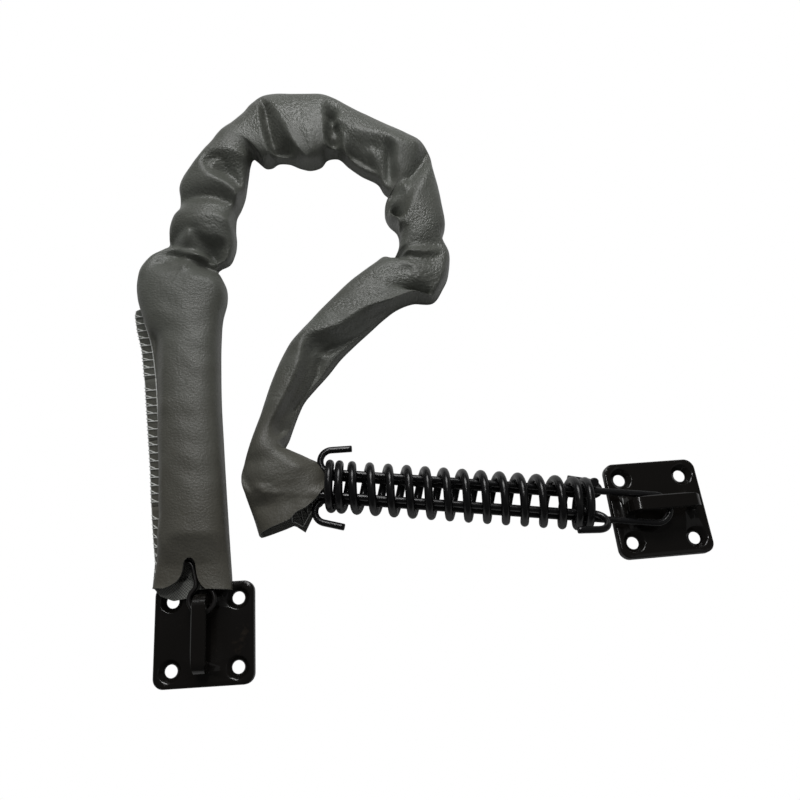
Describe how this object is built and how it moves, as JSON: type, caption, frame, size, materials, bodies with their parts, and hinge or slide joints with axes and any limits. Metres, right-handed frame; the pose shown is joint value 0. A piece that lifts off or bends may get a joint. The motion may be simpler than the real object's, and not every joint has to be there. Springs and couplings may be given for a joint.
{
  "type": "storm door chain",
  "caption": "Storm door chain: double loop chain in a vinyl sleeve, linked to a compression spring on two hooked drawbars, between two square screw-on brackets.",
  "frame": {"origin": "centre of the door bracket's back face, which lies on the plane Z = 0", "axes": "+Z out of the door bracket's face, +Y along its arch towards the chain, +X towards the jamb bracket's side"},
  "size_m": [0.2283, 0.2617, 0.0229],
  "materials": {
    "bracket_bronze": "dark bronze plated, semi gloss",
    "link_steel": "black plated wire",
    "drawbar_black": "gloss black",
    "spring_black": "gloss black",
    "sleeve_vinyl": "grey grained vinyl"
  },
  "bodies": {
    "door_bracket": {"door_bracket": "bracket_bronze"},
    "link_01": {"chain_link_01": "link_steel"},
    "link_02": {"chain_link_02": "link_steel"},
    "link_03": {"chain_link_03": "link_steel"},
    "link_04": {"chain_link_04": "link_steel"},
    "link_05": {"chain_link_05": "link_steel"},
    "link_06": {"chain_link_06": "link_steel"},
    "link_07": {"chain_link_07": "link_steel"},
    "link_08": {"chain_link_08": "link_steel"},
    "link_09": {"chain_link_09": "link_steel", "chain_sleeve": "sleeve_vinyl"},
    "link_10": {"chain_link_10": "link_steel"},
    "link_11": {"chain_link_11": "link_steel"},
    "link_12": {"chain_link_12": "link_steel"},
    "link_13": {"chain_link_13": "link_steel"},
    "link_14": {"chain_link_14": "link_steel"},
    "link_15": {"chain_link_15": "link_steel"},
    "link_16": {"chain_link_16": "link_steel"},
    "link_17": {"chain_link_17": "link_steel"},
    "chain_drawbar": {"chain_drawbar": "drawbar_black", "compression_spring": "spring_black"},
    "bracket_drawbar": {"bracket_drawbar": "drawbar_black"},
    "jamb_bracket": {"jamb_bracket": "bracket_bronze"}
  },
  "joints": [
    {"name": "link_01_swing", "type": "hinge", "parent": "door_bracket", "child": "link_01", "pos_m": [0, 0.0124, 0.0072], "axis": [0, 0, 1], "range_deg": [-35, 35], "deforming": ["chain_sleeve"]},
    {"name": "link_02_swing", "type": "hinge", "parent": "link_01", "child": "link_02", "pos_m": [-0.00468, 0.03441, 0.0072], "axis": [0, 0, 1], "range_deg": [-1, 15], "deforming": ["chain_sleeve"]},
    {"name": "link_03_swing", "type": "hinge", "parent": "link_02", "child": "link_03", "pos_m": [-0.00621, 0.06367, 0.0072], "axis": [0, 0, -1], "range_deg": [-1, 15], "deforming": ["chain_sleeve"]},
    {"name": "link_04_swing", "type": "hinge", "parent": "link_03", "child": "link_04", "pos_m": [-0.00799, 0.08911, 0.0072], "axis": [0, 0, 1], "range_deg": [-1, 15], "deforming": ["chain_sleeve"]},
    {"name": "link_05_swing", "type": "hinge", "parent": "link_04", "child": "link_05", "pos_m": [-0.01003, 0.11833, 0.0072], "axis": [0, 0, 1], "range_deg": [-1, 15], "deforming": ["chain_sleeve"]},
    {"name": "link_06_swing", "type": "hinge", "parent": "link_05", "child": "link_06", "pos_m": [-0.00959, 0.14383, 0.0072], "axis": [0, 0, 1], "range_deg": [-1, 15], "deforming": ["chain_sleeve"]},
    {"name": "link_07_swing", "type": "hinge", "parent": "link_06", "child": "link_07", "pos_m": [-0.00602, 0.17291, 0.0072], "axis": [0, 0, 1], "range_deg": [-1, 15], "deforming": ["chain_sleeve"]},
    {"name": "link_08_swing", "type": "hinge", "parent": "link_07", "child": "link_08", "pos_m": [-0.00028, 0.19776, 0.0072], "axis": [0, 0, 1], "range_deg": [-1, 30], "deforming": ["chain_sleeve"]},
    {"name": "link_09_swing", "type": "hinge", "parent": "link_08", "child": "link_09", "pos_m": [0.0197, 0.21919, 0.0072], "axis": [0, 0, 1], "range_deg": [-1, 45], "deforming": ["chain_sleeve"]},
    {"name": "link_10_swing", "type": "hinge", "parent": "link_09", "child": "link_10", "pos_m": [0.04519, 0.22008, 0.0072], "axis": [0, 0, 1], "range_deg": [-1, 25], "deforming": ["chain_sleeve"]},
    {"name": "link_11_swing", "type": "hinge", "parent": "link_10", "child": "link_11", "pos_m": [0.07216, 0.20863, 0.0072], "axis": [0, 0, 1], "range_deg": [-1, 29], "deforming": ["chain_sleeve"]},
    {"name": "link_12_swing", "type": "hinge", "parent": "link_11", "child": "link_12", "pos_m": [0.08786, 0.18854, 0.0072], "axis": [0, 0, 1], "range_deg": [-1, 26], "deforming": ["chain_sleeve"]},
    {"name": "link_13_swing", "type": "hinge", "parent": "link_12", "child": "link_13", "pos_m": [0.09395, 0.15987, 0.0072], "axis": [0, 0, 1], "range_deg": [-1, 43], "deforming": ["chain_sleeve"]},
    {"name": "link_14_swing", "type": "hinge", "parent": "link_13", "child": "link_14", "pos_m": [0.08081, 0.13802, 0.0072], "axis": [0, 0, 1], "range_deg": [-1, 24], "deforming": ["chain_sleeve"]},
    {"name": "link_15_swing", "type": "hinge", "parent": "link_14", "child": "link_15", "pos_m": [0.05681, 0.12121, 0.0072], "axis": [0, 0, -1], "range_deg": [-1, 15], "deforming": ["chain_sleeve"]},
    {"name": "link_16_swing", "type": "hinge", "parent": "link_15", "child": "link_16", "pos_m": [0.03757, 0.10448, 0.0072], "axis": [0, 0, -1], "range_deg": [-1, 28], "deforming": ["chain_sleeve"]},
    {"name": "link_17_swing", "type": "hinge", "parent": "link_16", "child": "link_17", "pos_m": [0.02707, 0.07713, 0.0072], "axis": [0, 0, -1], "range_deg": [-1, 15], "deforming": ["chain_sleeve"]},
    {"name": "chain_drawbar_swing", "type": "hinge", "parent": "link_17", "child": "chain_drawbar", "pos_m": [0.02217, 0.05593, 0.0116], "axis": [0, 0, -1], "range_deg": [-2, 79], "deforming": ["chain_sleeve"]},
    {"name": "spring_slide", "type": "slide", "parent": "chain_drawbar", "child": "bracket_drawbar", "axis": [0.9912, -0.1323, 0], "range_m": [0, 0.045], "stiffness_N_per_m": 6000, "deforming": ["compression_spring"]},
    {"name": "jamb_bracket_swing", "type": "hinge", "parent": "bracket_drawbar", "child": "jamb_bracket", "pos_m": [0.16736, 0.03676, 0.0116], "axis": [0.0876, 0.0865, 0.9924], "range_deg": [-47, 4]}
  ]
}
